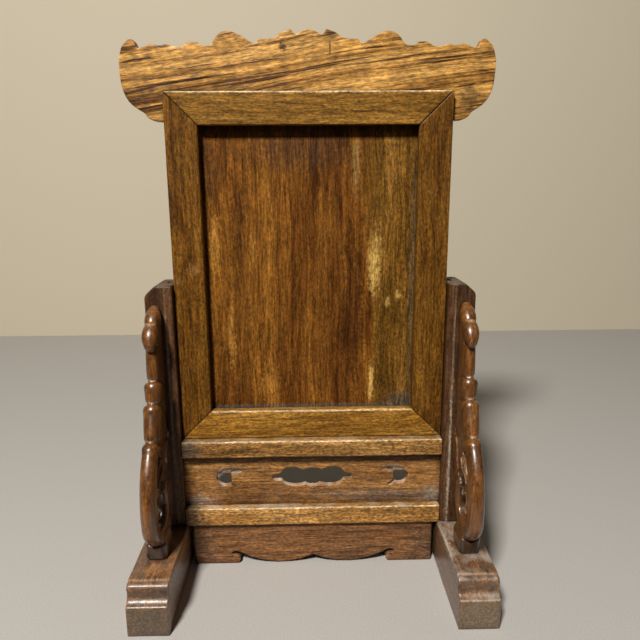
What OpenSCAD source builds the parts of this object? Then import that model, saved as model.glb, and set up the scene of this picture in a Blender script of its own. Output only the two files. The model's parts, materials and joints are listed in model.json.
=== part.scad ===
// Table screen: a framed wooden panel with a carved crest, lifted in and out of a footed stand.
// Origin under the middle of the stand, X to the right, front towards -Y, Z up, millimetres.

/* [Screen frame] */
// Width of the frame over the two stiles
frame_w = 240; // [180:1:360]
// Height of the frame over the two rails
frame_h = 305; // [220:1:460]
// Thickness of the frame, front to back
frame_t = 24; // [20:0.5:34]
// Width of a stile seen from the front
stile_w = 27.5; // [20:0.5:40]
// Height of a rail seen from the front
rail_h = 26.5; // [20:0.5:40]
// Depth of the panel behind the front of the frame
panel_recess = 11; // [8:0.5:12]
// Thickness of the panel boards
panel_t = 6; // [4:0.5:8]
// Width of the narrow board seen at the right of the panel
side_board_w = 35.5; // [20:0.5:70]

/* [Crest] */
// Height of the crest above the frame
crest_rise = 48.4; // [36:0.2:70]
// Thickness of the crest board
crest_t = 10; // [7:0.5:16]

/* [Feet] */
// Length of a foot, front to back
foot_l = 222; // [200:1:300]
// Width of a foot
foot_w = 34.5; // [30:0.5:48]
// Height of a foot
foot_h = 44; // [38:0.5:60]
// Height of the plain face at the toe
toe_h = 27.7; // [20:0.1:30]
// Length of the moulding at the toe
toe_run = 12.5; // [10:0.5:20]

/* [Posts] */
// Width of a post seen from the front
post_w = 24; // [22:0.5:32]
// Depth of a post, front to back
post_d = 42; // [38:0.5:54]
// Height of a post above its foot
post_h = 230.5; // [225:0.5:300]
// Size of the chamfer on the outer top corner
post_chamfer = 9.5; // [4:0.5:12]
// Width of the set-back strip beside the frame
strip_w = 6.5; // [5:0.5:8]
// Depth of the set-back strip
strip_step = 1.5; // [1:0.1:3]

/* [Stretchers and panels] */
// Height of the lower stretcher
lower_h = 17.5; // [14:0.5:26]
// Height of the waist panel between the stretchers
waist_h = 51.5; // [48:0.5:80]
// Height of the upper stretcher
upper_h = 16.2; // [14:0.2:26]
// Depth of both stretchers, front to back
stretcher_d = 41.2; // [36:0.2:52]
// Thickness of the waist panel
waist_t = 6; // [4:0.5:9]
// Depth of the leaves carved into the waist panel
waist_carving = 1.5; // [0.5:0.1:3]
// Middle of the waist panel, ahead of the middle of the stand
waist_ahead = 8; // [0:0.5:10]
// Thickness of an apron
apron_t = 7; // [5:0.5:9]
// Depth of an apron face behind the stretcher face
apron_back = 4.7; // [2:0.1:8]
// Gap between the end of an apron and the foot
apron_end = 3.7; // [1:0.1:8]

/* [Spandrels] */
// Height of a standing spandrel above the foot
spandrel_h = 217; // [190:1:225]

/* [Fits] */
// Clearance round tenons and fixed tongues
fit = 0.2; // [0.1:0.05:0.5]
// Clearance between the sliding screen and the stand
slide = 0.5; // [0.4:0.05:1]

/* [Hidden] */
$fn = 72;

// Levels, from the table up
z_waist = foot_h + lower_h;
z_upper = z_waist + waist_h;
z_seat = z_upper + upper_h;
z_frame = z_seat + slide / 2;
z_top = z_frame + frame_h;
z_post = foot_h + post_h;

// Lines across the width
x_post = frame_w / 2 + slide;
x_field = x_post + strip_w;
x_out = x_post + post_w;
x_foot = (x_field + x_out) / 2;

// Lines through the depth
y_panel = -frame_t / 2 + panel_recess;
y_waist = -waist_ahead - waist_t / 2;
y_apron = -stretcher_d / 2 + apron_back;

// Joints
groove = 5;
post_tenon = [13, 24, 22];
rail_tenon = [16, 7, 11];
bar_tenon = [11, 22, 9];
tongue_t = 8;
tongue_l = 6.5;
key_t = 5;
key_l = 4;
dowel_d = 6;
dowel_l = 12;

// Arc from p towards q, end left out; a positive bulge swells to the right of the path
function arc(p, q, bulge, steps = 6) =
    abs(bulge) < 0.001 ? [p] :
    let (side = [q[1] - p[1], p[0] - q[0]] / 2)
    let (c = (p + q) / 2 + side * (bulge * bulge - 1) / (2 * bulge))
    let (v = p - c)
    [for (i = [0:steps - 1]) let (a = 4 * atan(bulge) * i / steps)
        c + [v[0] * cos(a) - v[1] * sin(a), v[0] * sin(a) + v[1] * cos(a)]];

// Chain of arcs through points given as [x, y, bulge of the next stretch]
function chain(pts) =
    [for (i = [0:len(pts) - 2]) each arc([pts[i][0], pts[i][1]], [pts[i + 1][0], pts[i + 1][1]], pts[i][2])];

// Right half of a symmetric outline joined to its mirror image
function both_halves(half) =
    concat(half, [for (i = [len(half) - 1:-1:0]) if (half[i][0] > 0.01) [-half[i][0], half[i][1]]]);

// Outline drawn in the front view, given thickness along Y from y0
module front_plate(y0, t) {
    translate([0, y0 + t, 0])
        rotate([90, 0, 0])
            linear_extrude(t)
                children();
}

// Box with room all round it for a joint
module room(at, size, gap) {
    translate(at - [gap, gap, gap])
        cube(size + 2 * [gap, gap, gap]);
}

// Foot with an ogee on each toe: a cove that flares to the edge of the face, and a bead above it
module foot_outline() {
    half = foot_l / 2;
    rise = foot_h - toe_h;
    cove_r = 0.43 * rise;
    bead_r = 0.27 * rise;
    bead_x = half - cove_r - bead_r + 0.6;
    bead_z = foot_h - 0.9 - bead_r;
    difference() {
        union() {
            translate([-half, 0])
                square([foot_l, toe_h + cove_r]);
            translate([-half + cove_r, 1])
                square([foot_l - 2 * cove_r, bead_z - 1]);
            translate([-bead_x, 1])
                square([2 * bead_x, foot_h - 1.9]);
            translate([-half + toe_run, 1])
                square([foot_l - 2 * toe_run, foot_h - 1]);
        }
        for (s = [-1, 1])
            translate([s * (half + 0.2), toe_h + cove_r - 0.3])
                circle(cove_r);
    }
    for (s = [-1, 1])
        translate([s * bead_x, bead_z])
            circle(bead_r);
}

module foot() {
    difference() {
        translate([x_foot, 0, 0])
            rotate([90, 0, 90])
                linear_extrude(foot_w, center = true)
                    foot_outline();
        room(post_tenon_at(), post_tenon + [0, 0, 5], fit);
        for (s = [0, 1])
            mirror([0, s, 0])
                spandrel_place()
                    spandrel_peg(fit);
    }
}

// Post with a chamfered outer corner, a set-back strip and a groove for the sliding screen
function post_tenon_at() = [(x_post + x_out - post_tenon[0]) / 2, -post_tenon[1] / 2, foot_h - post_tenon[2]];

module post() {
    low = 1.2 * post_chamfer;
    difference() {
        union() {
            front_plate(-post_d / 2, post_d)
                polygon(concat(
                    [[x_field, foot_h], [x_out, foot_h]],
                    chain([
                        [x_out, z_post - low, 0.2],
                        [x_out - 0.16 * low, z_post - 0.6 * low, 0],
                        [x_out - post_chamfer, z_post, 0],
                        [x_field, z_post, 0]]),
                    [[x_field, z_post]]));
            translate([x_post, -post_d / 2 + strip_step, foot_h])
                cube([strip_w + 3, post_d - 2 * strip_step, post_h]);
            translate(post_tenon_at())
                cube(post_tenon + [0, 0, 2]);
        }
        translate([x_post - 1, -tongue_t / 2 - slide, z_seat])
            cube([1 + tongue_l + slide / 2, tongue_t + 2 * slide, post_h]);
        room(bar_tenon_at(foot_h, lower_h), bar_tenon, fit);
        room(bar_tenon_at(z_upper, upper_h), bar_tenon, fit);
        translate([x_post - 1, y_waist - fit, z_waist])
            cube([1 + groove + fit, waist_t + 2 * fit, waist_h]);
        for (s = [0, 1])
            mirror([0, s, 0])
                spandrel_place()
                    spandrel_key(fit);
    }
}

// Stretchers between the posts
function bar_tenon_at(z, h) = [x_post, -bar_tenon[1] / 2, z + (h - bar_tenon[2]) / 2];

module stretcher(z, h) {
    translate([-x_post, -stretcher_d / 2, z])
        cube([2 * x_post, stretcher_d, h]);
    for (s = [0, 1])
        mirror([s, 0, 0])
            translate(bar_tenon_at(z, h) - [1, 0, 0])
                cube(bar_tenon + [1, 0, 0]);
}

module waist_groove(z, h) {
    translate([-x_post - 1, y_waist - fit, z])
        cube([2 * x_post + 2, waist_t + 2 * fit, h]);
}

module upper_stretcher() {
    color("peru")
        difference() {
            stretcher(z_upper, upper_h);
            waist_groove(z_upper - 1, groove + 1 + fit);
        }
}

module lower_stretcher() {
    color("peru")
        difference() {
            stretcher(foot_h, lower_h);
            waist_groove(z_waist - groove - fit, groove + 1 + fit);
            for (s = [0, 1])
                mirror([0, s, 0])
                    apron_tongue(fit);
        }
}

// Waist panel pierced with a lobed cartouche and two half moons
module cartouche() {
    polygon(both_halves(chain([
        [0, -9.4, 0.3],
        [6.5, -7.6, 0.16],
        [23.5, -8.2, 0.25],
        [28.6, -4.4, -0.25],
        [31.5, -3.3, 0.12],
        [35.6, -3.3, 0.45],
        [37.9, -0.2, 0.35],
        [35, 2, -0.05],
        [30.2, 3.6, -0.2],
        [28, 6.2, 0.3],
        [22, 9.2, 0.22],
        [9, 6.2, 0.2],
        [0, 7.9, 0]])));
}

// Slot with round ends from p to q
module slot(p, q, r) {
    d = q - p;
    translate(p) {
        circle(r);
        rotate(atan2(d[1], d[0]))
            translate([0, -0.9 * r])
                square([norm(d), 1.8 * r]);
    }
    translate(q)
        circle(r);
}

module half_moon() {
    intersection() {
        translate([82.5, 0])
            circle(8.2);
        translate([77, -9])
            square([20, 12.4]);
    }
    slot([76, 5.6], [72.2, 6.4], 1.1);
    slot([78, -5.4], [73.4, -9.2], 1.2);
}

// Leaf carved into the face above a half moon
module moon_leaf() {
    polygon(chain([
        [88.8, 2.8, 0.12],
        [86, 6.6, 0.12],
        [79, 8.9, 0.06],
        [70.5, 8.4, 0.12],
        [64, 5, -0.12],
        [71, 4.6, -0.25],
        [76, 2, 0],
        [88.8, 2.8, 0]]));
}

module waist_panel() {
    grow = min(frame_w / 240, waist_h / 51.5);
    color("sienna")
        difference() {
            union() {
                translate([-x_post, y_waist, z_waist - groove])
                    cube([2 * x_post, waist_t, waist_h + 2 * groove]);
                translate([-x_post - groove, y_waist, z_waist + fit])
                    cube([2 * (x_post + groove), waist_t, waist_h - 2 * fit]);
            }
            translate([0, 0, z_waist + 0.53 * waist_h])
                front_plate(y_waist - 1, waist_t + 2)
                    scale(grow) {
                        cartouche();
                        half_moon();
                        mirror([1, 0])
                            half_moon();
                    }
            translate([0, 0, z_waist + 0.53 * waist_h])
                front_plate(y_waist - 1, 1 + waist_carving)
                    scale(grow) {
                        moon_leaf();
                        mirror([1, 0])
                            moon_leaf();
                    }
        }
}

// Apron with two hanging lobes and a hook at each end block, tongued into the lower stretcher
apron_x = x_foot - foot_w / 2 - apron_end;

module apron_tongue(gap) {
    translate([-apron_x + 6 - gap, y_apron + 2 - gap, foot_h - 1])
        cube([2 * (apron_x - 6 + gap), apron_t - 4 + 2 * gap, groove + 1 + gap]);
}

module apron() {
    k = apron_x / 114;
    h = foot_h / 44;
    front_plate(y_apron, apron_t)
        polygon(both_halves(concat(
            chain([
                [0, 8.3 * h, 0.25],
                [70.5 * k, 12.2 * h, -0.1],
                [75.5 * k, 12.9 * h, -0.55],
                [78 * k, 10.2 * h, -0.1],
                [74.8 * k, 9.4 * h, 0.3],
                [70.2 * k, 6 * h, 0.25],
                [70.6 * k, 2.2 * h, 0.35],
                [74 * k, 0.5 * h, 0],
                [apron_x, 0.5 * h, 0]]),
            [[apron_x, 0.5 * h], [apron_x, foot_h]])));
    apron_tongue(0);
}

// Standing spandrel, drawn with x ahead of the post and y up from the foot
spandrel_k = spandrel_h / 217;
spandrel_t = 13;
web_t = 11;
pad_t = 12.4;

module spandrel_place() {
    translate([x_foot, -post_d / 2, foot_h])
        rotate([90, 0, -90])
            scale(spandrel_k)
                children();
}

module spandrel_key(gap) {
    translate([-key_l - gap, 140 - gap, -key_t / 2 - gap])
        cube([key_l + gap + 3, 56 + 2 * gap, key_t + 2 * gap]);
}

module spandrel_peg(gap) {
    translate([33 - gap, -9 - gap, -key_t / 2 - gap])
        cube([12 + 2 * gap, 12 + gap, key_t + 2 * gap]);
}

// Bar bent along part of a circle, its outer edge fully rounded
module bent_bar(at, r, from, sweep, thick) {
    translate(at)
        rotate([0, 0, from])
            rotate_extrude(angle = sweep) {
                translate([r - 0.39 * thick, -thick / 2])
                    square([0.39 * thick, thick]);
                intersection() {
                    translate([r, 0])
                        circle(thick / 2);
                    translate([r - 1, -thick])
                        square([thick, 2 * thick]);
                }
            }
}

// Bead of revolution from p to q, widest at a share of its length, with a dome past q
module bead(p, q, r_mid, r_end, dome = 0, widest = 0.5) {
    d = q - p;
    l = norm(d);
    swell = r_mid - r_end;
    run = (1 - widest) * l;
    r = (run * run + swell * swell) / (2 * swell);
    translate([p[0], p[1], 0])
        rotate([0, 0, atan2(d[1], d[0])])
            rotate([0, 90, 0])
                rotate_extrude() {
                    intersection() {
                        translate([r_mid - r, widest * l])
                            circle(r, $fn = 200);
                        square([r_mid + 1, l]);
                    }
                    if (dome > 0)
                        intersection() {
                            translate([0, l])
                                circle(dome);
                            translate([0, l - 1])
                                square([dome + 1, 1 + 0.98 * dome]);
                        }
                }
}

// Centre and radius of the shoulder of the scroll and of the drum under it
shoulder = [-10.5, 49];
shoulder_r = 75;
drum_r = 22;
drum_turn = -8;
drum = shoulder + (shoulder_r - drum_r) * [cos(drum_turn), sin(drum_turn)];

module spandrel_web() {
    hidden = shoulder_r - 2;
    difference() {
        union() {
            polygon(concat(
                [[0, 92], [10, 75], [20, 58], drum],
                [for (a = [-15:10:45]) shoulder + hidden * [cos(a), sin(a)]],
                [[28, 130], [20.5, 151], [17.5, 181], [19.5, 188], [13, 200], [0, 207]]));
            translate(drum)
                circle(drum_r - 2);
        }
        translate([-9, 112])
            circle(17);
        translate([-3, 76])
            circle(15);
        difference() {
            translate(shoulder)
                circle(shoulder_r - 9);
            translate([20, 51])
                circle(36.5);
            translate([18, 112])
                circle(28);
            translate([-90, -90])
                square([118, 400]);
            translate([-90, -200])
                square([200, 264]);
        }
        difference() {
            translate([20, 51])
                circle(31);
            translate([31, 50])
                circle(21);
            translate([13, 68])
                circle(17);
            translate([-90, -200])
                square([200, 260]);
            translate([-90, -200])
                square([116, 400]);
        }
        spandrel_eye();
    }
}

// Curled opening inside the drum, left by the inner volute
module spandrel_eye() {
    difference() {
        translate(drum)
            circle(15.5);
        difference() {
            translate(drum + [2.5, 8.3])
                circle(9.9);
            translate(drum + [1.6, 7.4])
                circle(5.1);
            translate(drum - [15.6, 8.4])
                square([18, 15.8]);
        }
        translate(drum + [7.5, 0.5])
            circle(4.1);
    }
}

module spandrel() {
    difference() {
        union() {
            translate([0, 0, -web_t / 2])
                linear_extrude(web_t)
                    spandrel_web();
            bead([14.5, 196.5], [2.2, 209.8], 6.9, 5, 4.8);
            bead([13.5, 199.5], [24.6, 184.4], 7.3, 5, 4.8);
            bead([17.4, 181], [20.8, 149.5], 5.4, 5.1);
            bead([20.4, 150.5], [27.6, 131.2], 7.2, 5.3, widest = 0.25);
            bead([27.2, 132.2], [41.3, 103.2], 7.4, 5.7, widest = 0.25);
            translate([28, -1, -pad_t / 2])
                cube([21, 20, pad_t]);
            bent_bar(shoulder, shoulder_r, drum_turn - 1, 47 - drum_turn, spandrel_t);
            bent_bar(drum, drum_r, 124, 360 + drum_turn - 124, spandrel_t + 0.3);
        }
        translate([-20, -20, -20])
            cube([20, 260, 40]);
        translate([-20, -20, -20])
            cube([120, 20, 40]);
    }
    spandrel_key(0);
    spandrel_peg(0);
}

// Frame members, mitred from the outer to the inner corner
function rail_tenon_at(z) = [frame_w / 2 - stile_w - 2, -rail_tenon[1] / 2, z + (rail_h - rail_tenon[2]) / 2];

module panel_groove() {
    translate([-frame_w / 2 + stile_w - groove - fit, y_panel - fit, z_frame + rail_h - groove - fit])
        cube([frame_w - 2 * (stile_w - groove - fit), panel_t + 2 * fit, frame_h - 2 * (rail_h - groove - fit)]);
}

module stile() {
    w = frame_w / 2;
    difference() {
        union() {
            front_plate(-frame_t / 2, frame_t)
                polygon([
                    [w, z_frame],
                    [w, z_top],
                    [w - stile_w, z_top - rail_h],
                    [w - stile_w, z_frame + rail_h]]);
            translate([w - 2, -tongue_t / 2, z_frame + 3])
                cube([2 + tongue_l, tongue_t, z_post - z_frame - 3.4]);
        }
        panel_groove();
        room(rail_tenon_at(z_frame), rail_tenon, fit);
        room(rail_tenon_at(z_top - rail_h), rail_tenon, fit);
    }
}

module rail(z, up) {
    w = frame_w / 2;
    inner = z + (up ? 0 : rail_h);
    outer = z + (up ? rail_h : 0);
    difference() {
        union() {
            front_plate(-frame_t / 2, frame_t)
                polygon([[-w, outer], [w, outer], [w - stile_w, inner], [stile_w - w, inner]]);
            for (s = [0, 1])
                mirror([s, 0, 0])
                    translate(rail_tenon_at(z))
                        cube(rail_tenon);
        }
        panel_groove();
        if (up)
            crest_dowels_shape(fit);
    }
}

// Panel of two boards, tongued together and floating in the frame
panel_x = frame_w / 2 - stile_w + groove - fit;
seam_x = frame_w / 2 - stile_w - side_board_w;

module board(x0, x1) {
    z0 = z_frame + rail_h - groove + fit;
    translate([x0, y_panel, z0])
        cube([x1 - x0, panel_t, z_frame + z_top - 2 * z0]);
}

module seam_tongue(gap) {
    z0 = z_frame + rail_h + 4 - gap;
    translate([seam_x - 3 - gap, y_panel + panel_t / 3 - gap, z0])
        cube([4 + gap, panel_t / 3 + 2 * gap, z_frame + z_top - 2 * z0]);
}

// Crest board with lobed top and hooked ears hanging beside the frame
module crest_outline() {
    k = frame_w / 240;
    h = crest_rise / 48.4;
    half = chain([
        [0, 0, 0],
        [120.2, 0, 0],
        [120.2, -23, 0.04],
        [127, -22.9, 0.1],
        [132.6, -21.2, 0.14],
        [135.6, -18.2, -0.16],
        [139.6, -14.8, 0.03],
        [146.4, -10.2, 0.12],
        [152.6, -1, 0.1],
        [155.2, 13, 0.02],
        [155.4, 24, 0.07],
        [152.4, 35, 0.1],
        [146, 41, 0.28],
        [141.8, 39.6, 0.08],
        [140.4, 35.6, -0.35],
        [138.4, 34.2, -0.1],
        [131, 36.6, 0.2],
        [125.6, 37, -0.1],
        [121.4, 36.4, -0.12],
        [118, 37, 0.18],
        [112.4, 36, -0.1],
        [105.4, 35.2, -0.22],
        [100.4, 37.4, 0.2],
        [93.6, 38.9, 0.24],
        [88.4, 37.2, -0.05],
        [87, 36.1, -0.06],
        [80.6, 36.6, -0.2],
        [77.6, 39.6, 0.06],
        [74, 44.2, 0.16],
        [67.6, 47, 0.14],
        [59, 45.4, 0.08],
        [51, 41, -0.02],
        [46.2, 38.4, -0.1],
        [42.4, 38, 0],
        [41.2, 41.3, 0.1],
        [39.6, 41.1, -0.03],
        [29.8, 41.6, -0.16],
        [24.6, 44.4, 0.12],
        [19, 47.2, 0.04],
        [14.6, 48.4, 0.1],
        [13.2, 47, 0],
        [11.2, 44.9, -0.3],
        [9.2, 44.9, 0.12],
        [4.6, 47.4, 0.14],
        [0, 48.2, 0]]);
    polygon(both_halves([for (p = concat(half, [[0, 48.2]])) [p[0] * k, p[1] * h]]));
}

module crest_dowels_shape(gap) {
    for (x = [-0.3, 0.3])
        translate([x * frame_w, 0, z_top - dowel_l - gap])
            cylinder(h = 2 * (dowel_l + gap), d = dowel_d + 2 * gap);
}

module left_foot() {
    color("saddlebrown")
        mirror([1, 0, 0])
            foot();
}

module right_foot() {
    color("saddlebrown")
        foot();
}

module left_post() {
    color("brown")
        mirror([1, 0, 0])
            post();
}

module right_post() {
    color("brown")
        post();
}

module right_front_spandrel() {
    color("chocolate")
        spandrel_place()
            spandrel();
}

module left_front_spandrel() {
    color("chocolate")
        mirror([1, 0, 0])
            spandrel_place()
                spandrel();
}

module right_rear_spandrel() {
    color("chocolate")
        mirror([0, 1, 0])
            spandrel_place()
                spandrel();
}

module left_rear_spandrel() {
    color("chocolate")
        rotate([0, 0, 180])
            spandrel_place()
                spandrel();
}

module front_apron() {
    color("sienna")
        apron();
}

module rear_apron() {
    color("sienna")
        mirror([0, 1, 0])
            apron();
}

module frame_left_stile() {
    color("goldenrod")
        mirror([1, 0, 0])
            stile();
}

module frame_right_stile() {
    color("goldenrod")
        stile();
}

module frame_bottom_rail() {
    color("darkgoldenrod")
        rail(z_frame, false);
}

module frame_top_rail() {
    color("darkgoldenrod")
        rail(z_top - rail_h, true);
}

module main_board() {
    color("sienna")
        difference() {
            board(-panel_x, seam_x);
            seam_tongue(fit);
        }
}

module side_board() {
    color("olive") {
        board(seam_x, panel_x);
        seam_tongue(0);
    }
}

module crest_board() {
    color("orange")
        difference() {
            translate([0, 0, z_top])
                front_plate(-crest_t / 2, crest_t)
                    crest_outline();
            crest_dowels_shape(fit);
        }
}

module crest_dowels() {
    color("tan")
        crest_dowels_shape(0);
}

left_foot();
right_foot();
left_post();
right_post();
left_front_spandrel();
right_front_spandrel();
left_rear_spandrel();
right_rear_spandrel();
upper_stretcher();
lower_stretcher();
waist_panel();
front_apron();
rear_apron();
frame_left_stile();
frame_right_stile();
frame_bottom_rail();
frame_top_rail();
main_board();
side_board();
crest_board();
crest_dowels();
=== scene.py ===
"""Looks of a wooden table screen and its stand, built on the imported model."""

import json
import math
from collections import namedtuple

import bmesh
import bpy
from bpy.props import FloatProperty, FloatVectorProperty, PointerProperty
from mathutils import Matrix, Vector, noise


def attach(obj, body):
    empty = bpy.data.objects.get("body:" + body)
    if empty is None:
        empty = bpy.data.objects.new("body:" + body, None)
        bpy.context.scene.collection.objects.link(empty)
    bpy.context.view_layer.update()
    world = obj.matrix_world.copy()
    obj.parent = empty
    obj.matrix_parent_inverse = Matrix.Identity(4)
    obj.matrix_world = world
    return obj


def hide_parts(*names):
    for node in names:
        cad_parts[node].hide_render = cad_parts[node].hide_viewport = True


bl_info = {
    "name": "Table screen",
    "version": (1, 0, 0),
    "blender": (4, 5, 0),
    "location": "3D View > Sidebar > Table screen",
    "description": "Dresses a wooden table screen and its stand",
    "category": "Object",
}

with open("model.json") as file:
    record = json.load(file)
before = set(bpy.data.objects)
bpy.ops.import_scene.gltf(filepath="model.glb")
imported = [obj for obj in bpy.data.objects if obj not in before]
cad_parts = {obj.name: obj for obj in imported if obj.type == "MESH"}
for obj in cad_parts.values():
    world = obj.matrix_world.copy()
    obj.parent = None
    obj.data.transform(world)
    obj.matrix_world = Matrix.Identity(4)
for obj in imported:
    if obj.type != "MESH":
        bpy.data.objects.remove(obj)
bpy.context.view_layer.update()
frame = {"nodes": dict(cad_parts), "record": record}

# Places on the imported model, in metres: the top of the feet, and how far from the middle of the part the front of
# a post, its front arris and the middle plane of a spandrel are
FOOT_TOP = 0.044
POST_FRONT = 0.021
POST_ARRIS = 0.127
SPANDREL_MIDDLE = 0.13575

# Turns that lay the grain along an axis of the object
ALONG_X = (0.0, math.pi / 2, 0.0)
ALONG_Y = (math.pi / 2, 0.0, 0.0)
ALONG_Z = (0.0, 0.0, 0.0)
CREST_SLANT = 0.24

# Noise cells of the grain per metre, twice across it and once along it
BAND_CELLS = (85, 85, 4.5)
STREAK_CELLS = (260, 260, 9.0)
FIBRE_CELLS = (520, 520, 40.0)
PORE_CELLS = (900, 900, 260.0)
PATCH_CELLS = (30, 30, 9.0)
SPECK_CELLS = (640, 640, 300.0)
RIPPLE_CELLS = (70, 70, 150.0)

# How far a seed shifts the grain, and how the grain bends on its way
SEED_SHIFT = (1.73, 0.91, 2.37)
BEND_CELLS = 16.0
BEND_STRETCH = (1, 1, 0.35)
BEND_REACH = (0.02, 0.02, 0.0)

# Noise cells per metre of the other effects
WEAR_CELLS = 210.0
DUST_CLOUD_CELLS = 48.0
DUST_FINE_CELLS = 900.0
SIDES_CELLS = 160.0
SPOT_CELLS = 330.0
PAINT_CELLS = 700.0

# The waxed finish, and shades of it as shares of the grain's colours
WAX_IOR = 1.48
COAT_ROUGHNESS = 0.3
BUMP_STRENGTH = 0.28
BUMP_DEPTH = 0.0004
DUST_ROUGHNESS = 0.35
GRIME_SHADE = 0.22
SIDES_SHADE = 0.6
WORN_SHADE = 1.25
WEAR_RAYS = 6

# Rebuilding of the worn forms
WELD_DISTANCE = 2e-6
EASE = 0.5
SWAY_CELLS = 38.0
SETTLE_ROUNDS = 3
NORMAL_WEIGHT = 60

# Floor and backdrop, in metres
HALF_WIDTH = 3
FLOOR_FRONT = -0.34
WALL_PLACE = 0.9
WALL_HEIGHT = 0.9

# Lights: place, place that they look at, size and colour
KEY = ((-0.55, -1.45, 1.82), (0, 0, 0.22), 0.3, (1.0, 0.95, 0.87))
FILL = ((0.9, -0.9, 0.7), (0, 0, 0.2), 1.0, (1.0, 0.97, 0.93))
SKY_TINT = (1.0, 0.98, 0.95, 1)

# Camera, solved from the photograph, in metres and radians
CAMERA_PLACE = (-0.002618, -0.533657, 0.360908)
CAMERA_YAW = 0.02028936
CAMERA_PITCH = -0.22528619
CAMERA_ROLL = -0.00644457
CAMERA_CLIP = (0.01, 20)

# A mark on a piece: its colour, its place and half size in metres, how ragged its rim is, and its strength
Spot = namedtuple("Spot", "tint centre reach ragged strength")
ALL_OVER = 9.0


# Settings

def tint(name, description, rgb):
    return FloatVectorProperty(name=name, description=description, subtype="COLOR", size=3, min=0, max=1, default=rgb)


def share(name, description, value):
    return FloatProperty(name=name, description=description, subtype="FACTOR", min=0, max=1, default=value)


def power(name, description, value):
    return FloatProperty(name=name, description=description, unit="POWER", min=0, default=value)


def cell(value):
    return FloatProperty(name="Cell", description="Size of the cells that the form is rebuilt from",
                         subtype="DISTANCE", unit="LENGTH", min=0, default=value)


class SCREEN_PG_feet(bpy.types.PropertyGroup):
    """Sizes and colours of the two feet"""
    wood: tint("Wood", "Main colour of the feet", (0.140, 0.062, 0.024))
    dark: tint("Dark grain", "Colour of the dark grain", (0.050, 0.023, 0.010))
    pale: tint("Pale grain", "Colour of the worn patches", (0.33, 0.150, 0.052))
    dust: share("Dust", "Dust on the upper faces", 0.22)
    voxel: cell(0.0011)


class SCREEN_PG_posts(bpy.types.PropertyGroup):
    """Sizes and colours of the two posts"""
    wood: tint("Wood", "Main colour of the posts", (0.072, 0.029, 0.009))
    dark: tint("Dark grain", "Colour of the dark grain", (0.020, 0.007, 0.002))
    pale: tint("Pale grain", "Colour of the pale grain", (0.17, 0.085, 0.040))
    dust: share("Dust", "Dust on the posts", 0.35)
    voxel: cell(0.0012)


class SCREEN_PG_spandrels(bpy.types.PropertyGroup):
    """Sizes and colours of the four standing spandrels"""
    wood: tint("Wood", "Main colour of the spandrels", (0.130, 0.047, 0.009))
    dark: tint("Dark grain", "Colour of the dark grain", (0.022, 0.0075, 0.0015))
    pale: tint("Pale grain", "Colour of the pale grain", (0.27, 0.107, 0.022))
    worn: tint("Worn edges", "Colour of the worn edges", (0.44, 0.26, 0.14))
    gloss: share("Gloss", "Strength of the polish", 0.6)
    voxel: cell(0.0008)


class SCREEN_PG_stretchers(bpy.types.PropertyGroup):
    """Sizes and colours of the two stretchers"""
    wood: tint("Wood", "Main colour of the stretchers", (0.31, 0.150, 0.038))
    dark: tint("Dark grain", "Colour of the dark grain", (0.085, 0.034, 0.006))
    pale: tint("Pale grain", "Colour of the pale grain", (0.62, 0.34, 0.110))
    dust: share("Dust", "Dust on the ledges and ends", 0.75)
    voxel: cell(0.0012)


class SCREEN_PG_waist(bpy.types.PropertyGroup):
    """Sizes and colours of the waist panel"""
    wood: tint("Wood", "Main colour of the waist panel", (0.305, 0.138, 0.036))
    dark: tint("Dark grain", "Colour of the dark grain", (0.075, 0.030, 0.009))
    pale: tint("Pale grain", "Colour of the pale grain", (0.50, 0.26, 0.085))
    voxel: cell(0.0008)


class SCREEN_PG_aprons(bpy.types.PropertyGroup):
    """Sizes and colours of the two aprons"""
    wood: tint("Wood", "Main colour of the aprons", (0.220, 0.096, 0.034))
    dark: tint("Dark grain", "Colour of the dark grain", (0.070, 0.028, 0.010))
    pale: tint("Pale grain", "Colour of the pale grain", (0.32, 0.15, 0.055))
    voxel: cell(0.0008)


class SCREEN_PG_frame(bpy.types.PropertyGroup):
    """Sizes and colours of the mitred frame"""
    wood: tint("Stile wood", "Main colour of the stiles", (0.136, 0.055, 0.006))
    dark: tint("Stile dark grain", "Colour of the dark grain of the stiles", (0.048, 0.014, 0.002))
    pale: tint("Stile pale grain", "Colour of the pale grain of the stiles", (0.26, 0.120, 0.018))
    rail_wood: tint("Rail wood", "Main colour of the rails", (0.225, 0.106, 0.014))
    rail_dark: tint("Rail dark grain", "Colour of the dark grain of the rails", (0.080, 0.026, 0.004))
    rail_pale: tint("Rail pale grain", "Colour of the pale grain of the rails", (0.42, 0.215, 0.042))
    voxel: cell(0.0012)


class SCREEN_PG_boards(bpy.types.PropertyGroup):
    """Colours of the two panel boards"""
    wood: tint("Wood", "Main colour of the wide board", (0.145, 0.050, 0.006))
    dark: tint("Dark grain", "Colour of the dark grain of the wide board", (0.046, 0.012, 0.002))
    pale: tint("Pale grain", "Colour of the pale grain of the wide board", (0.285, 0.115, 0.016))
    side_wood: tint("Side wood", "Main colour of the narrow board", (0.155, 0.070, 0.009))
    side_dark: tint("Side dark grain", "Colour of the dark grain of the narrow board", (0.060, 0.026, 0.003))
    side_pale: tint("Side pale grain", "Colour of the pale grain of the narrow board", (0.31, 0.150, 0.030))


class SCREEN_PG_crest(bpy.types.PropertyGroup):
    """Sizes and colours of the crest board"""
    wood: tint("Wood", "Main colour of the crest", (0.41, 0.200, 0.043))
    dark: tint("Dark grain", "Colour of the dark streaks", (0.060, 0.021, 0.004))
    pale: tint("Pale grain", "Colour of the pale streaks", (0.64, 0.355, 0.100))
    voxel: cell(0.0008)


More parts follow.
